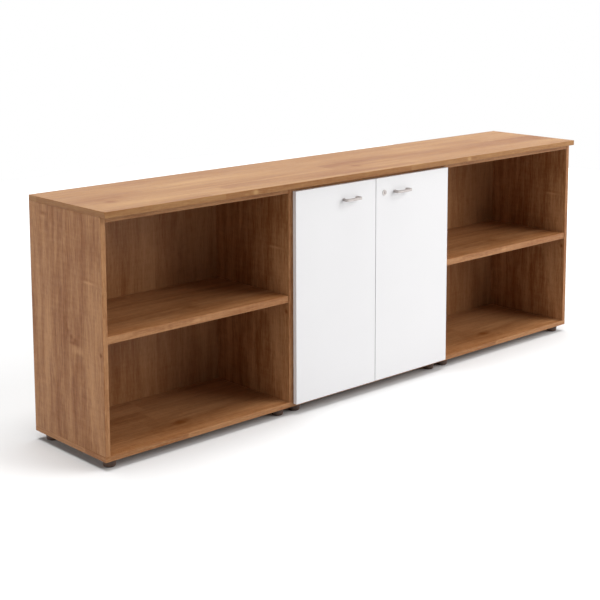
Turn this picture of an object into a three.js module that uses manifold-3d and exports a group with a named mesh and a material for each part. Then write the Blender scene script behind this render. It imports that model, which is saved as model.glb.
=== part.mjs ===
// Office credenza: three storage units side by side under one long top board.
// The outer units are open with one shelf each, the middle one has a pair of hinged doors.
// Millimetres. +X runs to the right along the front, +Y to the back and +Z up from the floor.

import * as THREE from 'three';
import { mergeVertices } from 'three/addons/utils/BufferGeometryUtils.js';
import Module from 'manifold-3d';

const wasm = await Module();
wasm.setup();

// Boards
const unitNames = ['left', 'middle', 'right'];
const unitWidth = 800;
const carcaseHeight = 790;
const carcaseDepth = 415;
const boardThickness = 18;
const topDepth = 440;
const topThickness = 20;
const edgeEase = 0.5;            // small chamfer along every board edge
const jointGap = 0.1;            // hairline where two pieces butt together

// Back panels, held in grooves
const backThickness = 8;
const backInset = 6;             // from the rear edge of the boards to the panel
const grooveDepth = 6;
const grooveClearance = 0.3;

// Fixed shelves
const shelfThickness = 25;
const shelfSetback = 2;          // behind the front edge of the sides
const shelfBackClearance = 0.5;

// Levelling feet
const footHeight = 30;
const footInset = 40;            // foot axis from the unit's outer faces
const footTopRadius = 23;
const footRimHeight = 6;
const footSkirtRadius = 20.5;    // just above the rounded lower edge
const footEdgeRadius = 6;
const footStemRadius = 4;
const footStemLength = 14;
const stemClearance = 0.3;

// Doors
const doorThickness = 16;
const doorStandOff = 1;          // air between door and carcase
const doorReveal = 1.5;          // strip of side edge left showing beside the door
const doorMiddleGap = 3;
const doorBottomGap = 10;
const doorTopGap = 12;

// Bow handles
const handleLength = 78;
const handleProjection = 26.5;
const handleHeight = 10;
const handleFootWidth = 13;
const handleBarThickness = 4.5;
const handleBow = 1.5;           // how far the middle of the bar stands out beyond its ends
const handleCornerRadius = 8;
const handleEdgeRound = 1;
const handleInFromMiddle = 131;  // handle centre from the door's meeting edge
const handleDrop = 57;           // handles and lock below the door's top edge

// Cup hinges. In plan, u runs from the door's outer edge inwards and v from its back face into the unit.
const hingeFromDoorEnd = 100;
const cupRadius = 17.5;
const cupDepth = 12.5;
const cupWall = 1;
const cupFromDoorEdge = 5;
const cupClearance = 0.3;
const cupPlateThickness = 1.2;
const cupPlateHeight = 58;
const cupPlateCorner = 5;
const cupPlateStart = 19.5;      // the fixing plate covers u from here to just past the cup
const cupPlateMargin = 1.5;
const cupPivot = { u: 9.4, v: -3.3 };
const armPivot = { u: 34.5, v: 5 };
const linkElbow = { u: 14, v: -9.4 };
const linkThickness = 2.3;
const linkHeight = 7;
const linkEyeRadius = 2.4;
const pivotPinRadius = 1.25;
const pivotClearance = 0.2;
const cheekGap = 0.3;            // between the link and each cheek of the arm
const armSheet = 1.6;
const armNoseRadius = 3.3;
const armEnd = 72;               // rear end of the arm
const armNeckFront = 27;         // where the underside of the nose meets the channel
const armNeckRear = 36;          // where its upper side does
const armSeatGap = 0.3;
const plateThickness = 1.6;
const plateScrewLine = 37;       // screw line behind the front edge of the side
const plateScrewSpacing = 32;
const plateScrewRadius = 2.6;
const plateWingWidth = 13;
const plateWingSpan = 48;
const plateBodyWidth = 18;
const plateBodyStart = 22;
const plateBodyEnd = 66;
const railHeight = 6;            // the raised rail that the arm is clamped over
const railEndInset = 4;

// Cam lock on the right door
const lockInFromMiddle = 43;
const lockFlangeRadius = 11;
const lockFlangeThickness = 2;
const lockFlangeBevel = 1;
const lockBodyRadius = 9;
const lockBodyBehindDoor = 7;
const lockClearance = 0.3;
const lockNutAcrossFlats = 24;
const lockNutThickness = 4;
const plugHeadRadius = 7;
const plugHeadThickness = 1.5;
const plugRadius = 5.5;
const plugTailSide = 6;
const keySlotWidth = 1.8;
const keySlotHeight = 8;
const keySlotDepth = 5;
const camThickness = 2;
const camLength = 40;
const camBossRadius = 8;
const camTipRadius = 5;
const camScrewRadius = 4.5;
const camScrewThickness = 2.5;
const strikeSheet = 1.6;
const strikeWidth = 30;
const strikeFlange = 18;
const strikeDrop = 24;
const strikeToCam = 1.1;         // free space between the strike and the locked cam

// Facets on the round pieces
const footFacets = 18;
const cupFacets = 32;
const lockFacets = 24;
const pinFacets = 12;

// Places that follow from the sizes above. The boards' rear edges lie at y = 0 until the last step.
const totalWidth = unitWidth * unitNames.length;
const carcaseFront = -carcaseDepth;
const doorBack = carcaseFront - doorStandOff;
const doorFront = doorBack - doorThickness;
const handleFront = doorFront - jointGap - handleProjection;
const halfUnit = unitWidth / 2;
const halfInside = halfUnit - boardThickness;
const baseTop = footHeight + boardThickness;
const carcaseTop = footHeight + carcaseHeight;
const ceiling = carcaseTop - jointGap - boardThickness;
const shelfBottom = (baseTop + ceiling - shelfThickness) / 2;
const backFace = -backInset - backThickness;
const doorOuter = halfUnit - doorReveal;
const doorInner = doorMiddleGap / 2;
const doorBottom = footHeight + doorBottomGap;
const doorTop = carcaseTop - doorTopGap;
const handleLevel = doorTop - handleDrop;
const hingeLevels = { lower: doorBottom + hingeFromDoorEnd, upper: doorTop - hingeFromDoorEnd };
const cupCentre = cupFromDoorEdge + cupRadius;
const sideFace = boardThickness - doorReveal;
const cheekInside = linkHeight / 2 + cheekGap;
const cheekOutside = cheekInside + armSheet;
const plateTop = sideFace + plateThickness;
const railTop = plateTop + railHeight;
const lockX = doorInner + lockInFromMiddle;
const lockRear = doorBack + lockBodyBehindDoor;
const camFront = lockRear + lockClearance;
const camRear = camFront + camThickness;

// Finishes
const walnut = new THREE.MeshStandardMaterial({ color: 0xa5764e, roughness: 0.55, metalness: 0 });
const white = new THREE.MeshStandardMaterial({ color: 0xeeeeee, roughness: 0.5, metalness: 0 });
const nickel = new THREE.MeshStandardMaterial({ color: 0xb9b2ad, roughness: 0.35, metalness: 1 });
const steel = new THREE.MeshStandardMaterial({ color: 0xb4b6b8, roughness: 0.35, metalness: 1 });
const plastic = new THREE.MeshStandardMaterial({ color: 0x38302c, roughness: 0.6, metalness: 0 });

// Joining and cutting closed meshes
function solidOf(geometry) {
  const bare = geometry.clone();
  bare.deleteAttribute('normal');
  bare.deleteAttribute('uv');
  const merged = mergeVertices(bare);
  const vertProperties = new Float32Array(merged.attributes.position.array);
  const triVerts = new Uint32Array(merged.index.array);
  return new wasm.Manifold(new wasm.Mesh({ numProp: 3, vertProperties, triVerts }));
}

function geometryOf(solid) {
  const mesh = solid.getMesh();
  const geometry = new THREE.BufferGeometry();
  geometry.setAttribute('position', new THREE.BufferAttribute(mesh.vertProperties, 3));
  geometry.setIndex(new THREE.BufferAttribute(mesh.triVerts, 1));
  return geometry;
}

function combine(operation, first, others) {
  const step = (solid, other) => solid[operation](solidOf(other));
  return geometryOf(others.reduce(step, solidOf(first)));
}

const join = (first, ...others) => combine('add', first, others);
const cut = (blank, ...tools) => combine('subtract', blank, tools);
const overlapOf = (first, second) => combine('intersect', first, [second]);

// Basic forms, placed by corners, axes or outlines
function block([x0, y0, z0], [x1, y1, z1]) {
  const box = new THREE.BoxGeometry(Math.abs(x1 - x0), y1 - y0, z1 - z0);
  return box.translate((x0 + x1) / 2, (y0 + y1) / 2, (z0 + z1) / 2);
}

function uprightRod(x, y, z0, z1, radius, facets) {
  const rod = new THREE.CylinderGeometry(radius, radius, z1 - z0, facets);
  return rod.rotateX(Math.PI / 2).translate(x, y, (z0 + z1) / 2);
}

function levelRod(x, z, y0, y1, radius, facets) {
  const rod = new THREE.CylinderGeometry(radius, radius, y1 - y0, facets);
  return rod.translate(x, (y0 + y1) / 2, z);
}

function outline(points) {
  return new THREE.Shape(points.map(([x, y]) => new THREE.Vector2(x, y)));
}

function slab(shape, depth) {
  return new THREE.ExtrudeGeometry(shape, { depth, bevelEnabled: false, curveSegments: 8 });
}

// An outline seen from above, thickened from z0 up to z1.
function planSlab(shape, z0, z1) {
  return slab(shape, z1 - z0).translate(0, 0, z0);
}

// An outline in x and z as seen from the front, thickened from y0 back to y1.
function frontSlab(shape, y0, y1) {
  return slab(shape, y1 - y0).rotateX(Math.PI / 2).translate(0, y1, 0);
}

// An outline in y and z as seen from the side, thickened between two x values.
function sideSlab(shape, xa, xb) {
  const turn = new THREE.Matrix4().set(0, 0, 1, 0, 1, 0, 0, 0, 0, 1, 0, 0, 0, 0, 0, 1);
  return slab(shape, Math.abs(xb - xa)).applyMatrix4(turn).translate(Math.min(xa, xb), 0, 0);
}

// An outline or slab with all its edges eased: the drawn shape stays the outside limit.
function easedSlab(shape, z0, z1, ease, segments) {
  const body = new THREE.ExtrudeGeometry(shape, {
    depth: z1 - z0 - 2 * ease,
    bevelEnabled: true,
    bevelThickness: ease,
    bevelSize: ease,
    bevelOffset: -ease,
    bevelSegments: segments,
    curveSegments: 6,
  });
  return body.translate(0, 0, z0 + ease);
}

// A board with eased edges, given by two opposite corners.
function board([x0, y0, z0], [x1, y1, z1]) {
  const e = edgeEase;
  const shape = outline([
    [x0 + e, y0], [x1 - e, y0], [x1, y0 + e], [x1, y1 - e],
    [x1 - e, y1], [x0 + e, y1], [x0, y1 - e], [x0, y0 + e],
  ]);
  return easedSlab(shape, z0, z1, e, 1);
}

function addPiece(group, name, geometry, material) {
  const mesh = new THREE.Mesh(geometry, material);
  mesh.name = name;
  group.add(mesh);
}

// Carcase of one unit, in the unit's own frame with x = 0 at its middle
const footAcross = halfUnit - footInset;
const footPlaces = [
  ['front_left', -footAcross, carcaseFront + footInset],
  ['front_right', footAcross, carcaseFront + footInset],
  ['back_left', -footAcross, -footInset],
  ['back_right', footAcross, -footInset],
];

function groove(x0, x1, z0, z1) {
  return block([x0, backFace - grooveClearance, z0], [x1, -backInset + grooveClearance, z1]);
}

function basePanel() {
  const blank = board([-halfUnit, carcaseFront, footHeight], [halfUnit, 0, baseTop]);
  const reach = halfInside + grooveDepth;
  const backGroove = groove(-reach, reach, baseTop - grooveDepth, baseTop + grooveDepth);
  const stemHoles = footPlaces.map(([, x, y]) => uprightRod(
    x,
    y,
    footHeight - footStemLength,
    footHeight + footStemLength + stemClearance,
    footStemRadius + stemClearance,
    pinFacets,
  ));
  return cut(blank, backGroove, ...stemHoles);
}

// hand is 1 for the left side, whose inner face looks along +X, and -1 for the right side.
function sidePanel(hand) {
  const bottom = baseTop + jointGap;
  const top = carcaseTop - jointGap;
  const edges = [-hand * halfUnit, -hand * halfInside].sort((a, b) => a - b);
  const blank = board([edges[0], carcaseFront, bottom], [edges[1], 0, top]);
  const inner = -hand * halfInside;
  const backGroove = groove(
    inner - hand * grooveDepth,
    inner + hand * grooveDepth,
    bottom - grooveDepth,
    top + grooveDepth,
  );
  return cut(blank, backGroove);
}

function topPanel() {
  const end = halfInside - jointGap;
  const blank = board([-end, carcaseFront, ceiling], [end, 0, carcaseTop - jointGap]);
  return cut(blank, groove(-halfUnit, halfUnit, ceiling - grooveDepth, ceiling + grooveDepth));
}

function backPanel() {
  const reach = grooveDepth - grooveClearance;
  const low = [-halfInside - reach, backFace, baseTop - reach];
  const high = [halfInside + reach, -backInset, ceiling + reach];
  return block(low, high);
}

function shelf() {
  const end = halfInside - jointGap;
  const low = [-end, carcaseFront + shelfSetback, shelfBottom];
  const high = [end, backFace - shelfBackClearance, shelfBottom + shelfThickness];
  return board(low, high);
}

// A turned plastic foot: rounded lower edge, tapered skirt, rim under the base panel, threaded stem.
function foot(x, y) {
  const top = footHeight - jointGap;
  const tread = footSkirtRadius - footEdgeRadius;
  const profile = new THREE.Path();
  profile.moveTo(0, 0);
  profile.lineTo(tread, 0);
  profile.quadraticCurveTo(footSkirtRadius, 0, footSkirtRadius, footEdgeRadius);
  profile.lineTo(footTopRadius, top - footRimHeight);
  profile.lineTo(footTopRadius, top);
  profile.lineTo(footStemRadius, top);
  profile.lineTo(footStemRadius, top + footStemLength);
  profile.lineTo(0, top + footStemLength);
  const turned = new THREE.LatheGeometry(profile.getPoints(3), footFacets);
  return turned.rotateX(Math.PI / 2).translate(x, y, 0);
}

function storageUnit(name) {
  const unit = new THREE.Group();
  addPiece(unit, `${name}_base_panel`, basePanel(), walnut);
  addPiece(unit, `${name}_side_left`, sidePanel(1), walnut);
  addPiece(unit, `${name}_side_right`, sidePanel(-1), walnut);
  addPiece(unit, `${name}_top_panel`, topPanel(), walnut);
  addPiece(unit, `${name}_back_panel`, backPanel(), walnut);
  addPiece(unit, `${name}_shelf`, shelf(), walnut);
  for (const [place, x, y] of footPlaces) {
    addPiece(unit, `${name}_foot_${place}`, foot(x, y), plastic);
  }
  return unit;
}

// Doors. hand is 1 for the left door, hung on the unit's left side, and -1 for the right door.
function acrossDoor(hand, u) {
  return hand * (u - doorOuter);
}

function doorPanel(hand, holes) {
  const edges = [-hand * doorOuter, -hand * doorInner].sort((a, b) => a - b);
  const blank = board([edges[0], doorFront, doorBottom], [edges[1], doorBack, doorTop]);
  const cupHoles = Object.values(hingeLevels).map((level) => levelRod(
    acrossDoor(hand, cupCentre),
    level,
    doorBack - cupDepth - cupClearance,
    doorBack + cupDepth,
    cupRadius + cupClearance,
    cupFacets,
  ));
  return cut(blank, ...cupHoles, ...holes);
}

// A bow of flat section: two flared feet on the door, legs that turn into a slightly bowed bar.
function handle(hand) {
  const half = handleLength / 2;
  const shoulder = handleBow - handleProjection;
  const r = handleCornerRadius;
  const legInside = half - handleBarThickness;
  const barInside = shoulder + handleBarThickness;
  const innerRadius = r - handleBarThickness / 2;
  const flare = -handleFootWidth / 4;
  const bow = new THREE.Shape();
  bow.moveTo(-half, 0);
  bow.lineTo(-half, shoulder + r);
  bow.quadraticCurveTo(-half, shoulder, -half + r, shoulder);
  bow.quadraticCurveTo(0, shoulder - 2 * handleBow, half - r, shoulder);
  bow.quadraticCurveTo(half, shoulder, half, shoulder + r);
  bow.lineTo(half, 0);
  bow.lineTo(half - handleFootWidth, 0);
  bow.quadraticCurveTo(legInside, flare, legInside, barInside + innerRadius);
  bow.quadraticCurveTo(legInside, barInside, legInside - innerRadius, barInside);
  bow.quadraticCurveTo(0, barInside - 2 * handleBow, innerRadius - legInside, barInside);
  bow.quadraticCurveTo(-legInside, barInside, -legInside, barInside + innerRadius);
  bow.quadraticCurveTo(-legInside, flare, handleFootWidth - half, 0);
  const body = easedSlab(bow, -handleHeight / 2, handleHeight / 2, handleEdgeRound, 2);
  return body.translate(-hand * (doorInner + handleInFromMiddle), doorFront - jointGap, handleLevel);
}

// Hinge cup with its fixing plate and pivot pin, sunk in the door
function hingeCup(hand, level) {
  const x = acrossDoor(hand, cupCentre);
  const rim = doorBack + jointGap + cupPlateThickness;
  const bowl = levelRod(x, level, doorBack - cupDepth, rim, cupRadius, cupFacets);
  const relief = block(
    [acrossDoor(hand, 0), doorBack, level - cupPlateHeight],
    [acrossDoor(hand, cupPlateStart), rim + cupPlateThickness, level + cupPlateHeight],
  );
  const near = acrossDoor(hand, cupPlateStart);
  const far = acrossDoor(hand, cupCentre + cupRadius + cupPlateMargin);
  const c = cupPlateCorner;
  const top = level + cupPlateHeight / 2;
  const bottom = level - cupPlateHeight / 2;
  const plateShape = outline([
    [near, bottom + c], [near + hand * c, bottom], [far - hand * c, bottom], [far, bottom + c],
    [far, top - c], [far - hand * c, top], [near + hand * c, top], [near, top - c],
  ]);
  const plate = frontSlab(plateShape, doorBack + jointGap, rim);
  const hollow = levelRod(
    x,
    level,
    doorBack - cupDepth + cupWall,
    rim + cupPlateThickness,
    cupRadius - cupWall,
    cupFacets,
  );
  const pin = uprightRod(
    acrossDoor(hand, cupPivot.u),
    doorBack + cupPivot.v,
    level - cupRadius,
    level + cupRadius,
    pivotPinRadius,
    pinFacets,
  );
  return join(cut(join(cut(bowl, relief), plate), hollow), overlapOf(pin, bowl));
}

// Goose-neck link: a strap from the cup's pin round the door edge to the arm's pin, an eye at each end
function hingeLink(hand, level) {
  const place = ({ u, v }) => new THREE.Vector2(acrossDoor(hand, u), doorBack + v);
  const route = [cupPivot, linkElbow, armPivot].map(place);
  const half = linkThickness / 2;
  const z0 = level - linkHeight / 2;
  const z1 = level + linkHeight / 2;
  const sideways = (a, b) => {
    const along = b.clone().sub(a).normalize();
    return new THREE.Vector2(-along.y, along.x);
  };
  const first = sideways(route[0], route[1]);
  const last = sideways(route[1], route[2]);
  const bisector = first.clone().add(last).normalize();
  const mitre = bisector.multiplyScalar(1 / bisector.dot(first));
  const offsets = [first, mitre, last];
  const edge = (side) => route.map((p, i) => p.clone().addScaledVector(offsets[i], side * half));
  const strap = planSlab(new THREE.Shape([...edge(1), ...edge(-1).reverse()]), z0, z1);
  const pivots = [route[0], route[2]];
  const eyes = pivots.map((p) => uprightRod(p.x, p.y, z0, z1, linkEyeRadius, pinFacets));
  const bore = pivotPinRadius + pivotClearance;
  const holes = pivots.map((p) => uprightRod(p.x, p.y, z0 - half, z1 + half, bore, pinFacets));
  return cut(join(strap, ...eyes), ...holes);
}

// Arm: a bent channel over the plate's rail, whose cheeks run forward to the nose and its pin
function hingeArm(hand, level) {
  const seat = plateTop + armSeatGap;
  const under = railTop + armSeatGap;
  const back = under + armSheet;
  const noseSide = armPivot.u + armNoseRadius;
  const place = ([u, v]) => [acrossDoor(hand, u), doorBack + v];
  const cheek = outline([
    [seat, armEnd], [back, armEnd], [back, armNeckRear], [noseSide, armPivot.v],
    [armPivot.u - armNoseRadius, armPivot.v], [seat, armNeckFront],
  ].map(place));
  const crestV = armPivot.v + 2 * armNoseRadius;
  const slope = (noseSide - back) / (armNeckRear - armPivot.v);
  const crestU = back + slope * (armNeckRear - crestV);
  const web = outline([
    [under, armEnd], [back, armEnd], [back, armNeckRear],
    [crestU, crestV], [crestU - armSheet, crestV], [under, armNeckRear],
  ].map(place));
  const [noseX, noseY] = place([armPivot.u, armPivot.v]);
  const bands = [[-cheekOutside, -cheekInside], [cheekInside, cheekOutside]];
  const cheeks = bands.map(([z0, z1]) => join(
    planSlab(cheek, level + z0, level + z1),
    uprightRod(noseX, noseY, level + z0, level + z1, armNoseRadius, pinFacets),
  ));
  const pin = uprightRod(
    noseX,
    noseY,
    level - cheekOutside,
    level + cheekOutside,
    pivotPinRadius,
    pinFacets,
  );
  return join(planSlab(web, level - cheekOutside, level + cheekOutside), ...cheeks, pin);
}

// Mounting plate: a cross-shaped plate screwed to the side panel, with a raised rail for the arm
function hingePlate(hand, level) {
  const wingMiddle = carcaseFront + plateScrewLine;
  const wing = plateWingWidth / 2;
  const span = plateWingSpan / 2;
  const body = plateBodyWidth / 2;
  const start = doorBack + plateBodyStart;
  const end = doorBack + plateBodyEnd;
  const cross = outline([
    [start, level - body], [wingMiddle - wing, level - body], [wingMiddle - wing, level - span],
    [wingMiddle + wing, level - span], [wingMiddle + wing, level - body], [end, level - body],
    [end, level + body], [wingMiddle + wing, level + body], [wingMiddle + wing, level + span],
    [wingMiddle - wing, level + span], [wingMiddle - wing, level + body], [start, level + body],
  ]);
  for (const side of [-1, 1]) {
    const hole = new THREE.Path();
    hole.absarc(wingMiddle, level + side * plateScrewSpacing / 2, plateScrewRadius, 0, 2 * Math.PI);
    cross.holes.push(hole);
  }
  const sheet = sideSlab(cross, acrossDoor(hand, sideFace + jointGap), acrossDoor(hand, plateTop));
  const railHalf = cheekInside - armSeatGap;
  const rail = block(
    [acrossDoor(hand, sideFace + plateThickness / 2), start + railEndInset, level - railHalf],
    [acrossDoor(hand, railTop), end - railEndInset, level + railHalf],
  );
  return join(sheet, rail);
}

function hungDoor(name, hand, holes) {
  const door = new THREE.Group();
  addPiece(door, `door_${name}`, doorPanel(hand, holes), white);
  addPiece(door, `handle_${name}`, handle(hand), nickel);
  for (const [place, level] of Object.entries(hingeLevels)) {
    addPiece(door, `hinge_cup_${name}_${place}`, hingeCup(hand, level), steel);
    addPiece(door, `hinge_link_${name}_${place}`, hingeLink(hand, level), steel);
    addPiece(door, `hinge_arm_${name}_${place}`, hingeArm(hand, level), steel);
    addPiece(door, `hinge_plate_${name}_${place}`, hingePlate(hand, level), steel);
  }
  return door;
}

// Cam lock: flanged housing clamped in the door by a nut, and a plug that turns the cam behind it
const lockHole = levelRod(
  lockX,
  handleLevel,
  doorFront - doorThickness,
  doorBack + doorThickness,
  lockBodyRadius + lockClearance,
  lockFacets,
);

function turnedPart(points) {
  const profile = points.map(([r, y]) => new THREE.Vector2(r, y));
  return new THREE.LatheGeometry(profile, lockFacets).translate(lockX, 0, handleLevel);
}

function lockHousing() {
  const front = doorFront - jointGap - lockFlangeThickness;
  const step = front + plugHeadThickness + lockClearance;
  const mouth = plugHeadRadius + lockClearance;
  const bore = plugRadius + lockClearance;
  return turnedPart([
    [mouth, front],
    [lockFlangeRadius - lockFlangeBevel, front],
    [lockFlangeRadius, front + lockFlangeBevel],
    [lockFlangeRadius, doorFront - jointGap],
    [lockBodyRadius, doorFront - jointGap],
    [lockBodyRadius, lockRear],
    [bore, lockRear],
    [bore, step],
    [mouth, step],
    [mouth, front],
  ]);
}

function lockPlug() {
  const front = doorFront - jointGap - lockFlangeThickness;
  const barrel = turnedPart([
    [0, front],
    [plugHeadRadius, front],
    [plugHeadRadius, front + plugHeadThickness],
    [plugRadius, front + plugHeadThickness],
    [plugRadius, lockRear],
    [0, lockRear],
  ]);
  const half = plugTailSide / 2;
  const tail = block(
    [lockX - half, lockRear - plugTailSide, handleLevel - half],
    [lockX + half, camRear, handleLevel + half],
  );
  const keySlot = block(
    [lockX - keySlotWidth / 2, front - keySlotDepth, handleLevel - keySlotHeight / 2],
    [lockX + keySlotWidth / 2, front + keySlotDepth, handleLevel + keySlotHeight / 2],
  );
  return cut(join(barrel, tail), keySlot);
}

function lockNut() {
  const nutRadius = lockNutAcrossFlats / 2 / Math.cos(Math.PI / 6);
  const rear = doorBack + jointGap + lockNutThickness;
  return cut(levelRod(lockX, handleLevel, doorBack + jointGap, rear, nutRadius, 6), lockHole);
}

// The cam lies level when the lock is open and stands up behind the strike when it is locked.
function lockCam() {
  const lever = new THREE.Shape();
  lever.absarc(0, 0, camBossRadius, Math.PI / 2, 3 * Math.PI / 2);
  lever.absarc(camLength - camTipRadius, 0, camTipRadius, -Math.PI / 2, Math.PI / 2);
  const half = plugTailSide / 2 + lockClearance;
  lever.holes.push(outline([[-half, -half], [-half, half], [half, half], [half, -half]]));
  return frontSlab(lever, camFront, camRear).translate(lockX, 0, handleLevel);
}

function camScrew() {
  const seat = camRear + jointGap;
  return levelRod(lockX, handleLevel, seat, seat + camScrewThickness, camScrewRadius, lockFacets);
}

// An angle under the unit's top panel, whose leg hangs in front of the locked cam.
function lockStrike() {
  const legRear = camFront - strikeToCam;
  const legFront = legRear - strikeSheet;
  const top = ceiling - jointGap;
  const angle = outline([
    [legFront, top], [legFront, ceiling - strikeDrop], [legRear, ceiling - strikeDrop],
    [legRear, top - strikeSheet], [legFront + strikeFlange, top - strikeSheet],
    [legFront + strikeFlange, top],
  ]);
  return sideSlab(angle, lockX - strikeWidth / 2, lockX + strikeWidth / 2);
}

// The whole piece of furniture, moved so that the origin is under the middle of its outer box
const credenza = new THREE.Group();
unitNames.forEach((name, index) => {
  const unit = storageUnit(name);
  unit.position.x = (index - (unitNames.length - 1) / 2) * unitWidth;
  credenza.add(unit);
});
const topLow = [-totalWidth / 2, -topDepth, carcaseTop];
const topHigh = [totalWidth / 2, 0, carcaseTop + topThickness];
addPiece(credenza, 'top_board', board(topLow, topHigh), walnut);
credenza.add(hungDoor('left', 1, []));
credenza.add(hungDoor('right', -1, [lockHole]));
addPiece(credenza, 'lock_housing', lockHousing(), nickel);
addPiece(credenza, 'lock_nut', lockNut(), steel);
addPiece(credenza, 'lock_plug', lockPlug(), nickel);
addPiece(credenza, 'lock_cam', lockCam(), steel);
addPiece(credenza, 'lock_cam_screw', camScrew(), steel);
addPiece(credenza, 'lock_strike', lockStrike(), steel);
credenza.position.y = -handleFront / 2;

export default credenza;
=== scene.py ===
import math

import bmesh
import bpy
from mathutils import Matrix, Vector


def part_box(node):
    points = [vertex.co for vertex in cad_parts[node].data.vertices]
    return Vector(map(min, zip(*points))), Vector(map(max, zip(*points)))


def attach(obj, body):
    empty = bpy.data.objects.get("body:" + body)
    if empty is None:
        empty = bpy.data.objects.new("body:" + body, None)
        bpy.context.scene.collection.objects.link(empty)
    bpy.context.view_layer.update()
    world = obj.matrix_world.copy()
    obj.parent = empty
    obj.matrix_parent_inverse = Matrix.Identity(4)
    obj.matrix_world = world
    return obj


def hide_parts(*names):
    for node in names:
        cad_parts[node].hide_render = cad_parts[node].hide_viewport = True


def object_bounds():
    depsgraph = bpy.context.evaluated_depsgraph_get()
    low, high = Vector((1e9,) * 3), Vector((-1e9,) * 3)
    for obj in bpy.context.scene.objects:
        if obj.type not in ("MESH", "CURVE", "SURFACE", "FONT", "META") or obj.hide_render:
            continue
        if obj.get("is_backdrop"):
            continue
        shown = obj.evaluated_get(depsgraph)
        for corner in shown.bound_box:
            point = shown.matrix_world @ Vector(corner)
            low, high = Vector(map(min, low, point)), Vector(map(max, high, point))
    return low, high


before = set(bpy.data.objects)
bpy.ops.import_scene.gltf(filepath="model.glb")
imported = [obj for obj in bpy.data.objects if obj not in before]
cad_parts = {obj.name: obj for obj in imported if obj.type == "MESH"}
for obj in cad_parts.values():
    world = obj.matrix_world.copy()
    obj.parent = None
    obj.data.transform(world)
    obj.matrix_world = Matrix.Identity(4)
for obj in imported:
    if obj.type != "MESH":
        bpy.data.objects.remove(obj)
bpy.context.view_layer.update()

# Levelling feet
# Twelve turned feet of dark moulded plastic carry the three base panels, four under each.
# A threaded stem on each one screws up into the panel, so that winding it out levels the unit.
MM = 0.001
UNITS = ("left", "middle", "right")
FOOT_BODIES = {"front_left": "fl", "front_right": "fr", "back_left": "bl", "back_right": "br"}
FOOT_TOP = 29.9
FOOT_RADIUS = 23
SKIRT_RADIUS = 20.5
LOWER_EDGE = 6
SOLE_RECESS = 1.5
SOLE_FILLET = 1.5
SOLE_RING = 2.6
RING_CHAMFER = 0.4
RIM_START = 23.9
RIM_STEP = 0.7
RIM_ROUND = 0.6
GROOVE_DEPTH = 1.3
GROOVE_WIDTH = 0.9
TOP_ROUND = 0.8
STEM_RADIUS = 4
STEM_END = 43.9
STEM_CHAMFER = 0.9
THREAD_PITCH = 1.25
THREAD_DEPTH = 0.6
THREAD_RUNOUT = 0.5
MERGE_REACH = 0.001
MOTTLE_WAVES = 60
MOULD_WAVES = 1400
MOULD_GRAIN = 0.15 * MM


class Finish:
    """A socket of a material's node tree: each operator adds the Math node that it stands for."""

    def __init__(self, tree, socket=None):
        self.tree = tree
        self.socket = socket

    def node(self, kind, settings=None, inputs=None, output=0):
        """A new node of this kind, as its output: settings first, then values or links."""
        made = self.tree.nodes.new(kind)
        for name, value in (settings or {}).items():
            setattr(made, name, value)
        for name, value in (inputs or {}).items():
            if isinstance(value, Finish):
                self.tree.links.new(value.socket, made.inputs[name])
            else:
                made.inputs[name].default_value = value
        return Finish(self.tree, made.outputs[output])

    def math(self, operation, first, second=0.0):
        return self.node("ShaderNodeMath", {"operation": operation}, {0: first, 1: second})

    def __add__(self, other):
        return self.math("ADD", self, other)

    def __sub__(self, other):
        return self.math("SUBTRACT", self, other)

    def __rsub__(self, other):
        return self.math("SUBTRACT", other, self)

    def __mul__(self, other):
        return self.math("MULTIPLY", self, other)

    def __truediv__(self, other):
        return self.math("DIVIDE", self, other)

    def __pow__(self, other):
        return self.math("POWER", self, other)

    def __rpow__(self, other):
        return self.math("POWER", other, self)

    def __gt__(self, other):
        return self.math("GREATER_THAN", self, other)

    def __abs__(self):
        return self.math("ABSOLUTE", self)

    __radd__ = __add__
    __rmul__ = __mul__

    def rise(self, low, high):
        """0 below low, 1 above high, smooth between."""
        ends = {"Value": self, "From Min": low, "From Max": high}
        return self.node("ShaderNodeMapRange", {"interpolation_type": "SMOOTHSTEP"}, ends)

    def tint(self, first, second):
        """The first colour where this is 0, the second where it is 1."""
        return self.node("ShaderNodeMix", {"data_type": "RGBA"}, {0: self, 6: first, 7: second}, 2)

    def place(self):
        """The three object coordinates, in metres."""
        whole = self.node("ShaderNodeTexCoord", {}, {}, "Object")
        return [self.node("ShaderNodeSeparateXYZ", {}, {0: whole}, axis) for axis in range(3)]

    def facing(self, axis, least=0.8):
        """1 on the faces that look along this axis, either way, and 0 elsewhere."""
        normal = self.node("ShaderNodeNewGeometry", {}, {}, "True Normal")
        return abs(self.node("ShaderNodeSeparateXYZ", {}, {0: normal}, axis)) > least

    def noise(self, across, along, depth, detail=2.0):
        """Soft noise about 0.5 on the three coordinates."""
        place = self.node("ShaderNodeCombineXYZ", {}, {0: across, 1: along, 2: depth})
        inputs = {"Vector": place, "Scale": 1.0, "Detail": detail}
        return self.node("ShaderNodeTexNoise", {}, inputs)

    def even_noise(self, waves, detail=2.0):
        """Soft noise about 0.5 with this many waves to the metre, the same every way."""
        x, y, z = self.place()
        return self.noise(x * waves, y * waves, z * waves, detail)


def new_finish(name, **constants):
    """A material, its Principled shader with the constants set, and a Finish for its patterns."""
    material = bpy.data.materials.new(name)
    material.use_nodes = True
    tree = material.node_tree
    shader = tree.nodes["Principled BSDF"]
    for socket, value in constants.items():
        shader.inputs[socket.replace("_", " ").title().replace("Ior", "IOR")].default_value = value
    return material, shader, Finish(tree)


def connect(shader, finish, colour, roughness, height, depth):
    """Wires colour, roughness and a bump of this depth in metres into the shader."""
    bump = finish.node("ShaderNodeBump", {}, {"Height": height, "Distance": depth})
    for name, value in (("Base Color", colour), ("Roughness", roughness), ("Normal", bump)):
        finish.tree.links.new(value.socket, shader.inputs[name])


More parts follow.
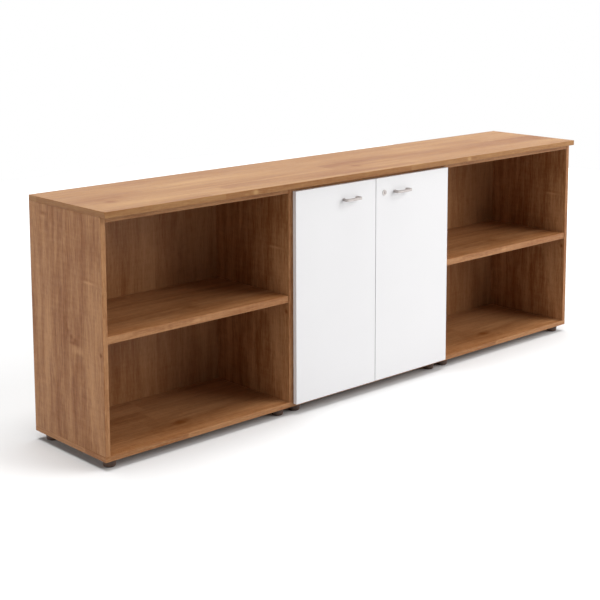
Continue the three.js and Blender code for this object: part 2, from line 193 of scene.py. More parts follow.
def linear(red, green, blue):
    """A colour written in the 0 to 255 steps of a picture, as the shader takes it."""
    steps = [channel / 255 for channel in (red, green, blue)]
    return (*[((s + 0.055) / 1.055) ** 2.4 if s > 0.04045 else s / 12.92 for s in steps], 1.0)


def mottled_finish(name, dark, light):
    """A faint mottle and a fine moulded grain: the plastic of the feet, and the painted shade in
    the key slot.
    """
    material, shader, finish = new_finish(name)
    mottle = finish.even_noise(MOTTLE_WAVES)
    grain = finish.even_noise(MOULD_WAVES, 1.0)
    colour = (mottle * 0.6 + grain * 0.4).rise(0.3, 0.7).tint(dark, light)
    connect(shader, finish, colour, 0.5 + 0.2 * mottle, grain, MOULD_GRAIN)
    return material


def shaded_mesh(name, work, sharp=35, all_smooth=True):
    """Ends a bmesh as a mesh, smooth except at edges that turn by more than sharp degrees.

    Without all_smooth, the faces that were marked as flat stay flat."""
    bmesh.ops.recalc_face_normals(work, faces=work.faces)
    for face in work.faces if all_smooth else ():
        face.smooth = True
    for edge in work.edges:
        edge.smooth = edge.is_manifold and edge.calc_face_angle() < math.radians(sharp)
    mesh = bpy.data.meshes.new(name)
    work.to_mesh(mesh)
    work.free()
    return mesh


def curve(start, bend, end, steps):
    """Points of a quadratic curve after its first one."""
    points = []
    for step in range(1, steps + 1):
        t = step / steps
        shares = ((1 - t) ** 2, 2 * t * (1 - t), t ** 2)
        axes = zip(start, bend, end)
        points.append(tuple(sum(s * p for s, p in zip(shares, axis)) for axis in axes))
    return points


def turned(name, profile, segments=48, thread=None):
    """A mesh turned about Z from (radius, height) points in millimetres.

    The points end on the axis or close up. A thread is given by the heights where it starts
    and ends, its pitch and its depth."""
    work = bmesh.new()
    spine = [work.verts.new((radius, 0, height)) for radius, height in profile]
    edges = [work.edges.new(pair) for pair in zip(spine, spine[1:])]
    bmesh.ops.spin(
        work, geom=spine + edges, axis=(0, 0, 1), cent=(0, 0, 0), steps=segments,
        angle=2 * math.pi, use_merge=True,
    )
    bmesh.ops.remove_doubles(work, verts=work.verts, dist=MERGE_REACH)
    for vert in work.verts if thread else ():
        start, end, pitch, depth = thread
        if start < vert.co.z < end:
            turn = math.atan2(vert.co.y, vert.co.x) / (2 * math.pi)
            groove = depth * abs(2 * ((vert.co.z / pitch - turn) % 1) - 1)
            vert.co.xy *= 1 - groove / vert.co.xy.length
    bmesh.ops.scale(work, verts=work.verts, vec=(MM, MM, MM))
    return shaded_mesh(name, work)


def thread_rings(radius, start, end, pitch):
    """Profile points up or down a threaded stretch, four to a turn of the thread."""
    count = round(4 * abs(end - start) / pitch)
    return [(radius, start + (end - start) * step / count) for step in range(count + 1)]


def add_piece(name, mesh, body, slot, finish, *nodes):
    """A new piece on its body, with its finish, in place of these nodes. The slot is not used."""
    piece = bpy.data.objects.new(name, mesh)
    bpy.context.scene.collection.objects.link(piece)
    if not mesh.materials:
        mesh.materials.append(finish)
    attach(piece, body)
    if nodes:
        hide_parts(*nodes)
    return piece


def foot_profile():
    """The foot's outline from the middle of its sole, out round the rim and up the stem."""
    tread = SKIRT_RADIUS - LOWER_EDGE
    ring_edge = tread - SOLE_RING
    ring_inside = (ring_edge - RING_CHAMFER, RING_CHAMFER)
    recess_edge = (ring_inside[0] - SOLE_FILLET, SOLE_RECESS)
    recess_bend = (ring_edge - 1.5 * RING_CHAMFER, SOLE_RECESS)
    groove_low = (FOOT_RADIUS - RIM_STEP, RIM_START - GROOVE_WIDTH)
    groove_bend = (FOOT_RADIUS - GROOVE_DEPTH, RIM_START - GROOVE_WIDTH / 3)
    rim_low = (FOOT_RADIUS - RIM_ROUND, RIM_START)
    rim_high = (FOOT_RADIUS, FOOT_TOP - TOP_ROUND)
    thread_low = FOOT_TOP + THREAD_RUNOUT
    thread_high = STEM_END - 2 * THREAD_RUNOUT
    return [
        (0, SOLE_RECESS),
        recess_edge,
        *curve(recess_edge, recess_bend, ring_inside, 4),
        (ring_edge, 0),
        (tread, 0),
        *curve((tread, 0), (SKIRT_RADIUS, 0), (SKIRT_RADIUS, LOWER_EDGE), 8),
        groove_low,
        *curve(groove_low, groove_bend, rim_low, 4),
        *curve(rim_low, (FOOT_RADIUS, RIM_START), (FOOT_RADIUS, RIM_START + RIM_ROUND), 4),
        rim_high,
        *curve(rim_high, (FOOT_RADIUS, FOOT_TOP), (FOOT_RADIUS - TOP_ROUND, FOOT_TOP), 4),
        (STEM_RADIUS, FOOT_TOP),
        *thread_rings(STEM_RADIUS, thread_low, thread_high, THREAD_PITCH),
        (STEM_RADIUS - STEM_CHAMFER, STEM_END),
        (0, STEM_END),
    ]


dark_plastic = mottled_finish("dark_plastic", linear(63, 47, 38), linear(91, 69, 58))
foot_thread = (FOOT_TOP, STEM_END - THREAD_RUNOUT, THREAD_PITCH, THREAD_DEPTH)
foot_mesh = turned("levelling_foot", foot_profile(), thread=foot_thread)
for unit in UNITS:
    for corner, short in FOOT_BODIES.items():
        node = f"{unit}_foot_{corner}"
        body = f"{unit}_foot_{short}"
        low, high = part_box(node)
        foot = add_piece(f"{node}_turned", foot_mesh, body, "dark_plastic", dark_plastic, node)
        foot.location = ((low[0] + high[0]) / 2, (low[1] + high[1]) / 2, low[2])

# Base panels
# The bottom board of each unit, chipboard faced with a walnut-grain foil and edged to match.
# The sides stand on it and the feet screw into its underside; its grain runs along the unit.
UNIT_WIDTH = 800 * MM
PORE_BROWN = linear(84, 50, 28)
WALNUT_DARK = linear(122, 69, 27)
WALNUT_LIGHT = linear(183, 135, 93)
GRAIN_SWAY = 0.03
GRAIN_MIDDLE = 0.52
GRAIN_RANGE = (-0.15, 1.15)
PORE_EDGES = (0.58, 0.7)
PORE_SHARE = 0.2
PORE_DEPTH = 0.1 * MM
FOIL_SHEEN = 0.23
FOIL_ROUGHNESS = 0.44
STRIP_WIDTH = 0.1
STRIP_LENGTH = 0.9
STRIP_STAGGER = 7
LEVEL_STRIP_TONE = 0.22
LEVEL_STRIP_SHIFT = 5
BOARD_EASE = 0.8 * MM
EASE_STEPS = 3
FLAT_TURN = math.radians(1)
CRISP_TURN = math.radians(40)
BASE_MARKS = (
    (-0.081, -0.025, 0.016, 0.026, -0.35),
    (-0.120, 0.220, 0.014, 0.140, 0.22),
    (0.060, -0.240, 0.026, 0.150, -0.2),
)


def marked(across, along, marks, period=None):
    """Marks in the wood's colour, the sum of soft patches, lighter or darker: natural figure, and
    painted light and painted shade in long bands along edges.

    Each is placed across and along the grain, with its half width, half length and strength,
    and given a period it comes again along the grain at every one."""
    total = 0.0
    for place_across, place_along, half_width, half_length, strength in marks:
        far_along = along - place_along
        if period:
            far_along = far_along - period * along.math("ROUND", far_along / period)
        far = ((across - place_across) / half_width) ** 2 + (far_along / half_length) ** 2
        total = total + strength * math.e ** (-1 * far)
    return total


def strip_tone(finish, across, seed, along=None):
    """A tone from -0.5 to 0.5 for each strip that a board is laid up from.

    Given along, the strips have ends, which lie at other places in the next strip."""
    strip = finish.math("FLOOR", across / STRIP_WIDTH + seed)
    place = {0: strip}
    if along is not None:
        stagger = finish.node("ShaderNodeTexWhiteNoise", {"noise_dimensions": "1D"}, {"W": strip})
        place[1] = finish.math("FLOOR", along / STRIP_LENGTH + STRIP_STAGGER * stagger)
    place = {"Vector": finish.node("ShaderNodeCombineXYZ", {}, place)}
    return finish.node("ShaderNodeTexWhiteNoise", {"noise_dimensions": "2D"}, place) - 0.5


def walnut(finish, shader, across, along, layer, contrast, marks_tone, light=WALNUT_LIGHT):
    """Walnut grain: zones, bands, streaks, fibres and pores, all drawn out along the grain.

    The factors of across and along are each pattern's waves to the metre."""
    sway = finish.noise(across * 6, along * 2.4, layer + 3) - 0.5
    bent = across + GRAIN_SWAY * sway
    zones = finish.noise(bent * 16, along * 1.3, layer) - 0.5
    bands = finish.noise(bent * 46, along * 3.4, layer + 1) - 0.5
    streaks = finish.noise(bent * 160, along * 10, layer + 2) - 0.5
    fibres = finish.noise(bent * 520, along * 34, layer + 4) - 0.5
    ripple = finish.noise(across * 22, along * 90, layer + 6) - 0.5
    pores = finish.noise(bent * 900, along * 48, layer + 5, 1.0).rise(*PORE_EDGES)
    grain = 0.65 * zones + 0.6 * bands + 0.5 * streaks + 0.6 * fibres + 0.2 * ripple
    tone = GRAIN_MIDDLE + contrast * (grain + marks_tone)
    wood = tone.rise(*GRAIN_RANGE).tint(WALNUT_DARK, light)
    colour = (pores * PORE_SHARE * contrast).tint(wood, PORE_BROWN)
    height = fibres * 0.4 - pores
    connect(shader, finish, colour, FOIL_ROUGHNESS + 0.25 * streaks, height, PORE_DEPTH)


def level_walnut(name, marks, seed, contrast, light=WALNUT_LIGHT, period=None, each_unit=True):
    """Grain along X: faces run across in Y, long edges in Z, and the ends are banded along Y.

    With each_unit, the figure is the same in every unit."""
    material, shader, finish = new_finish(name, specular_ior_level=FOIL_SHEEN)
    x, y, z = finish.place()
    if each_unit:
        x = x - UNIT_WIDTH * finish.math("ROUND", x / UNIT_WIDTH)
    across = z + (y - z) * finish.facing(2)
    along = x + (y - x) * finish.facing(0)
    tone = strip_tone(finish, across, seed, along)
    marks_tone = marked(across, along, marks, period) + LEVEL_STRIP_TONE * tone
    layer = seed + LEVEL_STRIP_SHIFT * tone
    walnut(finish, shader, across, along, layer, contrast, marks_tone, light)
    return material


def softened(name, node, ease):
    """A finer copy of a construction node: flat facets joined and every crisp edge rounded."""
    work = bmesh.new()
    work.from_mesh(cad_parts[node].data)
    bmesh.ops.remove_doubles(work, verts=work.verts, dist=MERGE_REACH * MM)
    bmesh.ops.dissolve_limit(work, angle_limit=FLAT_TURN, verts=work.verts, edges=work.edges)
    turns = {edge: edge.calc_face_angle() for edge in work.edges if edge.is_manifold}
    for face in work.faces:
        face.smooth = any(FLAT_TURN < turns.get(edge, 0) < CRISP_TURN for edge in face.edges)
    crisp_edges = [edge for edge, turn in turns.items() if turn > CRISP_TURN]
    rounded = bmesh.ops.bevel(
        work, geom=crisp_edges, offset=ease, offset_type="OFFSET", segments=EASE_STEPS,
        profile=0.5, affect="EDGES", clamp_overlap=True,
    )
    for face in rounded["faces"]:
        face.smooth = True
    return shaded_mesh(name, work, 45, all_smooth=False)


def fit_boards(finish, *nodes):
    """Faced boards with eased edges, in place of these nodes."""
    for node in nodes:
        mesh = softened(f"{node}_faced", node, BOARD_EASE)
        add_piece(f"{node}_faced", mesh, "carcase", "walnut_board", finish, node)


base_board = level_walnut("walnut_base", BASE_MARKS, seed=0.0, contrast=1.3)
fit_boards(base_board, *[f"{unit}_base_panel" for unit in UNITS])

# Sides
# Two upright boards to each unit, faced and edged like the base, with the grain running up.
# They stand on the base panel on hidden dowels and are grooved inside for the back panel.
UPRIGHT_STRIP_TONE = 0.18
UPRIGHT_STRIP_SHIFT = 0.3
SIDE_MARKS = (
    (-0.040, 0.366, 0.028, 0.013, 0.34),
    (-0.012, 0.386, 0.022, 0.006, -0.26),
    (-0.026, 0.397, 0.010, 0.007, -0.22),
    (-0.004, 0.404, 0.010, 0.008, -0.26),
    (0.012, 0.420, 0.008, 0.011, -0.24),
    (0.021, 0.438, 0.006, 0.012, -0.16),
    (-0.111, 0.600, 0.026, 0.0035, 0.34),
    (-0.111, 0.609, 0.034, 0.006, -0.14),
    (-0.121, 0.700, 0.042, 0.090, -0.10),
    (0.143, 0.790, 0.016, 0.005, -0.24),
    (0.150, 0.778, 0.018, 0.004, 0.16),
    (-0.172, 0.378, 0.005, 0.006, -0.45),
    (0.050, 0.560, 0.040, 0.240, -0.16),
    (0.126, 0.480, 0.022, 0.300, 0.15),
    (-0.090, 0.260, 0.030, 0.190, 0.12),
    (-0.010, 0.180, 0.014, 0.120, -0.15),
)


def upright_walnut(name, marks, seed, contrast, across_depth=False):
    """Grain up Z, the same in every unit: across_depth is set where the faces run across in Y."""
    material, shader, finish = new_finish(name, specular_ior_level=FOIL_SHEEN)
    x, y, z = finish.place()
    across = x - UNIT_WIDTH * finish.math("ROUND", x / UNIT_WIDTH)
    if across_depth:
        across = across + (y - across) * finish.facing(0)
    tone = strip_tone(finish, across, seed)
    marks_tone = marked(across, z, marks) + UPRIGHT_STRIP_TONE * tone
    layer = seed + UPRIGHT_STRIP_SHIFT * tone
    walnut(finish, shader, across, z, layer, contrast, marks_tone)
    return material


side_board = upright_walnut(
    "walnut_side", SIDE_MARKS, seed=19.707, contrast=1.6, across_depth=True
)
fit_boards(side_board, *[f"{unit}_side_{hand}" for unit in UNITS for hand in ("left", "right")])

# Back panels
# A thin board to each unit, faced the same way on both sides, with the grain running up.
# It is held in grooves in the sides, the base and the top panel.
BACK_MARKS = (
    (-0.230, 0.560, 0.030, 0.200, 0.15),
    (-0.050, 0.300, 0.040, 0.220, -0.14),
    (0.160, 0.620, 0.030, 0.180, -0.12),
)
back_board = upright_walnut("walnut_back", BACK_MARKS, seed=40.0, contrast=1.05)
fit_boards(back_board, *[f"{unit}_back_panel" for unit in UNITS])

# Shelves
# One 25 mm shelf in each unit, of the same faced chipboard, with a banded front edge.
# It is fixed between the sides at mid height on hidden dowels.
# The last two marks lie on the front edge, where the place across the grain is a height: a small
# light fleck, then a band that lightens the whole edge along its length, which is painted light.
SHELF_MARKS = (
    (-0.070, 0.034, 0.016, 0.026, -0.35),
    (-0.130, -0.180, 0.018, 0.130, 0.2),
    (0.425, -0.025, 0.004, 0.014, 0.35),
    (0.425, 0.000, 0.030, 10.000, 0.08),
)
shelf_board = level_walnut("walnut_shelf", SHELF_MARKS, seed=60.0, contrast=1.3)
fit_boards(shelf_board, *[f"{unit}_shelf" for unit in UNITS])

# Top panels
# The upper board of each carcase, faced like the base and set between the sides on dowels.
# The long top is screwed down to it.
fit_boards(base_board, *[f"{unit}_top_panel" for unit in UNITS])

# Top board
# One long board over all three units, faced and edged like them and overhanging at the front.
# The printed figure of its foil comes again along the length.
FIGURE_REPEAT = 1.105
# The top's grain runs to a yellower light tone than the other boards: painted light, the warm
# light that falls on the top.
WARM_LIT_TOP_LIGHT = linear(179, 138, 92)
# The last two marks lie on the front edge, as on the shelves: a small light fleck, then a band
# that darkens the whole edge along its length, which is painted shade.
TOP_MARKS = (
    (-0.072, -1.081, 0.022, 0.020, -0.4),
    (0.060, -0.580, 0.030, 0.190, 0.26),
    (0.005, -1.050, 0.032, 0.230, -0.22),
    (-0.045, -0.400, 0.046, 0.380, -0.22),
    (-0.131, -0.980, 0.020, 0.170, 0.24),
    (0.172, -0.750, 0.020, 0.420, -0.2),
    (0.110, -0.950, 0.022, 0.260, 0.12),
    (0.830, -0.588, 0.008, 0.010, 0.8),
    (0.830, 0.000, 0.050, 10.000, -0.15),
)
top_board = level_walnut(
    "walnut_top", TOP_MARKS, seed=79.831, contrast=0.85, light=WARM_LIT_TOP_LIGHT,
    period=FIGURE_REPEAT, each_unit=False,
)
fit_boards(top_board, "top_board")

# Doors
# Two overlay doors of white faced board with white edging, hung in front of the middle unit.
# Each is bored behind for two hinge cups, and the right one for the lock.
WHITE_DARK = linear(232, 231, 232)
WHITE_LIGHT = linear(236, 235, 236)
CLOUD_WAVES = 3
PEEL_WAVES = 500
PEEL_DEPTH = 0.05 * MM


def white_foil(name):
    """White facing: very nearly one tone, with a fine peel to it."""
    material, shader, finish = new_finish(name)
    colour = finish.even_noise(CLOUD_WAVES).tint(WHITE_DARK, WHITE_LIGHT)
    peel = finish.even_noise(PEEL_WAVES)
    connect(shader, finish, colour, 0.4 + 0.1 * peel, peel, PEEL_DEPTH)
    return material


white_board = white_foil("white_board")
for hand in ("left", "right"):
    node = f"door_{hand}"
    mesh = softened(f"{node}_faced", node, BOARD_EASE)
    add_piece(f"{node}_faced", mesh, f"{hand}_door", "white_board", white_board, node)

# Handles
# A bow of flat cast metal on each door, satin nickel plated and flared at its two feet.
# A screw through the door from behind holds each foot.
DOOR_FRONT = -202.7
FITTING_GAP = 0.1
FITTING_LEVEL = 751
HANDLE_CENTRE = 132.5
HANDLE_HALF = 39
HANDLE_SHOULDER = -25
HANDLE_BOW = 1.5
HANDLE_CORNER = 8
HANDLE_BAR = 4.5
HANDLE_FOOT = 13
HANDLE_HALF_HEIGHT = 5
HANDLE_ROUND = 1.2
CORNER_STEPS = 8
BAR_STEPS = 16
BRUSH_WAVES = 1500
BRUSH_DEPTH = 0.01 * MM
PLATING_WAVES = 40


def brushed_metal(name, dark, light, stretch, roughness):
    """Plated metal with a fine grain drawn out along X by this much."""
    material, shader, finish = new_finish(name, metallic=1.0)
    x, y, z = finish.place()
    brush = finish.noise(x * (BRUSH_WAVES / stretch), y * BRUSH_WAVES, z * BRUSH_WAVES)
    cloud = finish.even_noise(PLATING_WAVES)
    colour = (brush * 0.6 + cloud * 0.4).rise(0.2, 0.8).tint(dark, light)
    connect(shader, finish, colour, roughness + 0.16 * brush, brush, BRUSH_DEPTH)
    return material


def handle_outline():
    """The bow in plan, from the door's face outwards, point by point round its edge."""
    half, shoulder, corner = HANDLE_HALF, HANDLE_SHOULDER, HANDLE_CORNER
    inside = half - HANDLE_BAR
    inner_bar = shoulder + HANDLE_BAR
    inner_corner = corner - HANDLE_BAR / 2
    inner_leg = inner_bar + inner_corner
    flare = -HANDLE_FOOT / 4
    left_shoulder = (-half + corner, shoulder)
    right_shoulder = (half - corner, shoulder)
    right_bar_end = (inside - inner_corner, inner_bar)
    left_bar_end = (inner_corner - inside, inner_bar)
    return [
        (-half, 0),
        (-half, shoulder + corner),
        *curve((-half, shoulder + corner), (-half, shoulder), left_shoulder, CORNER_STEPS),
        *curve(left_shoulder, (0, shoulder - 2 * HANDLE_BOW), right_shoulder, BAR_STEPS),
        *curve(right_shoulder, (half, shoulder), (half, shoulder + corner), CORNER_STEPS),
        (half, 0),
        (half - HANDLE_FOOT, 0),
        *curve((half - HANDLE_FOOT, 0), (inside, flare), (inside, inner_leg), CORNER_STEPS),
        *curve((inside, inner_leg), (inside, inner_bar), right_bar_end, CORNER_STEPS),
        *curve(right_bar_end, (0, inner_bar - 2 * HANDLE_BOW), left_bar_end, BAR_STEPS),
        *curve(left_bar_end, (-inside, inner_bar), (-inside, inner_leg), CORNER_STEPS),
        *curve((-inside, inner_leg), (-inside, flare), (HANDLE_FOOT - half, 0), CORNER_STEPS),
    ]


def eased_slab(name, outline, low, high, ease, steps=4):
    """An outline in X and Y thickened from low to high in Z, with both rims rounded over.

    All sizes are in millimetres."""
    points = [Vector(point) for point in outline]
    turn = sum(a.cross(b) for a, b in zip(points, points[1:] + points[:1]))
    if turn < 0:
        points.reverse()
    inward = []
    for before, here, after in zip(points[-1:] + points, points, points[1:] + points[:1]):
        first = (here - before).normalized()
        second = (after - here).normalized()
        inward.append(Vector((-first.y - second.y, first.x + second.x)) / (1 + first.dot(second)))
    rims = []
    for step in range(steps + 1):
        angle = math.radians(90 * step / steps)
        rims.append((ease * (1 - math.sin(angle)), ease * (1 - math.cos(angle))))
    levels = [(inset, low + rise) for inset, rise in rims]
    levels += [(inset, high - rise) for inset, rise in reversed(rims)]
    work = bmesh.new()
    rings = []
    for inset, height in levels:
        ring = [here + inset * side for here, side in zip(points, inward)]
        rings.append([work.verts.new((x * MM, y * MM, height * MM)) for x, y in ring])
    for lower, upper in zip(rings, rings[1:]):
        for index in range(len(points)):
            work.faces.new((lower[index - 1], lower[index], upper[index], upper[index - 1]))
    work.faces.new(rings[0])
    work.faces.new(rings[-1])
    return shaded_mesh(name, work)


satin_nickel = brushed_metal(
    "satin_nickel", linear(163, 155, 152), linear(194, 187, 184), stretch=25, roughness=0.27
)
handle_mesh = eased_slab(
    "bow_handle", handle_outline(), -HANDLE_HALF_HEIGHT, HANDLE_HALF_HEIGHT, HANDLE_ROUND
)
for hand, side in (("left", -1), ("right", 1)):
    node = f"handle_{hand}"
    body = f"{hand}_door"
    handle = add_piece(f"bow_{node}", handle_mesh, body, "satin_nickel", satin_nickel, node)
    place = (side * HANDLE_CENTRE, DOOR_FRONT - FITTING_GAP, FITTING_LEVEL)
    handle.location = [MM * axis for axis in place]

# Hinges
# Two concealed cup hinges to each door, of pressed and plated steel: the cup is let into the
# door, a goose-neck link joins it to the arm, and the arm is clamped to a plate on the side.
HINGE_EASE = 0.25 * MM
HINGE_BODIES = {"cup": "{}_door", "link": "{}_door_links", "arm": "carcase", "plate": "carcase"}
plated_steel = brushed_metal(
    "plated_steel", linear(198, 199, 201), linear(220, 221, 223), stretch=1, roughness=0.36
)
for kind, body in HINGE_BODIES.items():
    for hand in ("left", "right"):
        for level in ("lower", "upper"):
            node = f"hinge_{kind}_{hand}_{level}"
            mesh = softened(f"{node}_steel", node, HINGE_EASE)
            add_piece(
                f"{node}_steel", mesh, body.format(hand), "plated_steel", plated_steel, node
            )

# Lock
# A nickel plated cam lock in the right door: a nut clamps its housing and the key turns a plug.
# A steel cam, held on the plug's square tail by a screw, swings up behind the strike.
LOCK_X = 44.5
LOCK_DEPTH = 25.1
LOCK_CLEARANCE = 0.3
LOCK_CHAMFER = 0.4
FLANGE_RADIUS = 11
FLANGE_THICKNESS = 2
FLANGE_ROUND = 1.2
LOCK_FRONT = DOOR_FRONT - FITTING_GAP - FLANGE_THICKNESS
HOUSING_RADIUS = 9
HOUSING_NECK = 8
HOUSING_PITCH = 1
HOUSING_GROOVE = 0.5
HOUSING_CHAMFER = 0.6
HOUSING_SEGMENTS = 64
PLUG_HEAD_RADIUS = 7
PLUG_HEAD_THICKNESS = 1.5
PLUG_RADIUS = 5.5
PLUG_TAIL = 6
TAIL_END = 27.4
KEY_SLOT = (2.6, 10, 5)
CAM_SCREW = (4.5, 2.5)
# A screw head is given by its radius and height; its dome and its cross are shares of these
HEAD_SEGMENTS = 32
HEAD_RIM = 0.25
HEAD_SHOULDER = 0.9
HEAD_CROWN = 0.35
CROSS_ARM = 0.52
CROSS_WING = 0.13
CROSS_FLOOR = (0.5, 0.35)
CROSS_MOUTH = (1.1, 1.1)
TOWARDS_FRONT = Matrix.Rotation(math.radians(90), 4, "X")


def box_mesh(name, low, high):
    """A block between two corners in millimetres."""
    work = bmesh.new()
    bmesh.ops.create_cube(work, size=1.0)
    for vert in work.verts:
        vert.co = [MM * (b if side > 0 else a) for a, b, side in zip(low, high, vert.co)]
    return shaded_mesh(name, work)


def carve(mesh, tool, operation="DIFFERENCE"):
    """The mesh with the tool cut out of it or joined to it.

    The faces that the tool leaves keep the tool's slot numbers."""
    blank, cutter = [bpy.data.objects.new(part.name, part) for part in (mesh, tool)]
    for part in (blank, cutter):
        bpy.context.scene.collection.objects.link(part)
    cut = blank.modifiers.new("cut", "BOOLEAN")
    cut.operation = operation
    cut.solver = "EXACT"
    cut.object = cutter
    whole = blank.evaluated_get(bpy.context.evaluated_depsgraph_get())
    work = bmesh.new()
    work.from_mesh(whole.to_mesh())
    for part in (blank, cutter):
        bpy.data.objects.remove(part)
    made = shaded_mesh(mesh.name, work)
    for material in mesh.materials:
        made.materials.append(material)
    return made


def lock_housing():
    """The flanged and threaded housing, turned round a stepped bore for the plug."""
    mouth = PLUG_HEAD_RADIUS + LOCK_CLEARANCE
    bore = PLUG_RADIUS + LOCK_CLEARANCE
    step = -PLUG_HEAD_THICKNESS - LOCK_CLEARANCE
    face_edge = (FLANGE_RADIUS - FLANGE_ROUND, 0)
    thread_end = HOUSING_CHAMFER - LOCK_DEPTH
    profile = [
        (mouth, -LOCK_CHAMFER),
        (mouth + LOCK_CHAMFER, 0),
        face_edge,
        *curve(face_edge, (FLANGE_RADIUS, 0), (FLANGE_RADIUS, -FLANGE_ROUND), 6),
        (FLANGE_RADIUS, -FLANGE_THICKNESS),
        (HOUSING_RADIUS, -FLANGE_THICKNESS),
        *thread_rings(HOUSING_RADIUS, -HOUSING_NECK, thread_end, HOUSING_PITCH),
        (HOUSING_RADIUS - HOUSING_CHAMFER, -LOCK_DEPTH),
        (bore, -LOCK_DEPTH),
        (bore, step),
        (mouth, step),
        (mouth, -LOCK_CHAMFER),
    ]
    thread_start = HOUSING_CHAMFER / 2 - LOCK_DEPTH
    thread = (thread_start, -HOUSING_NECK, HOUSING_PITCH, HOUSING_GROOVE)
    return turned("lock_housing", profile, HOUSING_SEGMENTS, thread)


def lock_plug():
    """The plug with its square tail and its key slot, whose walls take the second finish, a
    near-black painted shade.
    """
    barrel = turned("lock_plug", [
        (0, 0),
        (PLUG_HEAD_RADIUS - LOCK_CHAMFER, 0),
        (PLUG_HEAD_RADIUS, -LOCK_CHAMFER),
        (PLUG_HEAD_RADIUS, -PLUG_HEAD_THICKNESS),
        (PLUG_RADIUS, -PLUG_HEAD_THICKNESS),
        (PLUG_RADIUS, -LOCK_DEPTH),
        (0, -LOCK_DEPTH),
    ])
    half = PLUG_TAIL / 2
    tail = box_mesh("plug_tail", (-half, -half, -TAIL_END), (half, half, PLUG_TAIL - LOCK_DEPTH))
    width, height, depth = KEY_SLOT
    slot = box_mesh("key_slot", (-width / 2, -height / 2, -depth), (width / 2, height / 2, depth))
    for face in slot.polygons:
        face.material_index = 1
    plug = carve(barrel, tail, "UNION")
    plug.materials.append(satin_nickel)
    plug.materials.append(slot_shade)
    return carve(plug, slot)


def screw_head(name, radius, height):
    """A domed screw head standing on Z = 0, with a tapered cross recess."""
    rim = (radius, HEAD_RIM * height)
    shoulder = (HEAD_SHOULDER * radius, height)
    crown = (HEAD_CROWN * radius, height)
    profile = [(0, 0), (radius, 0), rim, *curve(rim, shoulder, crown, 8), (0, height)]
    head = turned(name, profile, HEAD_SEGMENTS)
    arm, wing = CROSS_ARM * radius, CROSS_WING * radius
    cross = [
        (arm, -wing), (arm, wing), (wing, wing), (wing, arm), (-wing, arm), (-wing, wing),
        (-arm, wing), (-arm, -wing), (-wing, -wing), (-wing, -arm), (wing, -arm), (wing, -wing),
    ]
    work = bmesh.new()
    rings = []
    for share, level in (CROSS_FLOOR, CROSS_MOUTH):
        ring = [(x * share * MM, y * share * MM, level * height * MM) for x, y in cross]
        rings.append([work.verts.new(point) for point in ring])
    floor, mouth = rings
    for index in range(len(cross)):
        work.faces.new((floor[index - 1], floor[index], mouth[index], mouth[index - 1]))
    work.faces.new(floor)
    work.faces.new(mouth)
    return carve(head, shaded_mesh("cross_recess", work))


# The key slot's walls are near black: painted shade, for the shade deep in the slot.
slot_shade = mottled_finish("painted_slot_shade", linear(16, 15, 15), linear(28, 26, 25))
# The housing's nickel is paler than the same plating on the plug and the handles: a painted
# highlight on the ring round the plug.
housing_nickel_painted_highlight = brushed_metal(
    "housing_nickel_painted_highlight", linear(182, 176, 173), linear(212, 207, 204), stretch=25, roughness=0.3
)
housing = add_piece(
    "lock_housing_turned", lock_housing(), "right_door", "satin_nickel", housing_nickel_painted_highlight,
    "lock_housing",
)
plug = add_piece(
    "lock_plug_turned", lock_plug(), "lock_core", "satin_nickel", satin_nickel, "lock_plug"
)
lock_place = Matrix.Translation((LOCK_X * MM, LOCK_FRONT * MM, FITTING_LEVEL * MM))
for piece in (housing, plug):
    piece.matrix_basis = lock_place @ TOWARDS_FRONT
lock_steel = {"lock_nut": "right_door", "lock_cam": "lock_core", "lock_strike": "carcase"}
for node, body in lock_steel.items():
    mesh = softened(f"{node}_steel", node, HINGE_EASE)
    add_piece(f"{node}_steel", mesh, body, "plated_steel", plated_steel, node)
cam_screw = add_piece(
    "lock_cam_screw_head", screw_head("cam_screw", *CAM_SCREW), "lock_core", "plated_steel",
    plated_steel, "lock_cam_screw",
)
cam_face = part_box("lock_cam_screw")[0][1]
cam_screw_place = Matrix.Translation((LOCK_X * MM, cam_face, FITTING_LEVEL * MM))
cam_screw.matrix_basis = cam_screw_place @ TOWARDS_FRONT.inverted()

# Screws
# Plated cross-recess screws: two in each hinge cup, hinge plate and hinge arm, two in the strike,
# and two through the door behind each handle.
CARCASE_FRONT = -185.7
DOOR_BACK = -186.7
DOOR_OUTER = 398.5
CEILING = 801.9
HINGE_LEVELS = (140, 708)
SMALL_SCREW = (3.4, 1.7)
ARM_SCREW = (3.0, 1.5)
WIDE_SCREW = (4.2, 2.0)
# Distances in from the door's outer edge, backwards, and up or down from the hinge's level
CUP_SCREW_PLACE = (32, 1.3, 24)
PLATE_SCREW_PLACE = (18.1, 37, 16)
ARM_WEB = 26
ARM_SCREWS = (46, 62)
STRIKE_SCREW_Y = -172
STRIKE_SCREW_SPREAD = 9
STRIKE_SHEET = 1.7
HANDLE_SCREW_SPREAD = 32.5


def screw_group(name, head, body, places):
    """Copies of a screw head as one piece, each standing at its place and looking its own way."""
    work = bmesh.new()
    for place, towards in places:
        stand = Vector(towards).to_track_quat("Z", "Y").to_matrix().to_4x4()
        copy = head.copy()
        copy.transform(Matrix.Translation(Vector(place) * MM) @ stand)
        work.from_mesh(copy)
    add_piece(name, shaded_mesh(name, work), body, "plated_steel", plated_steel)


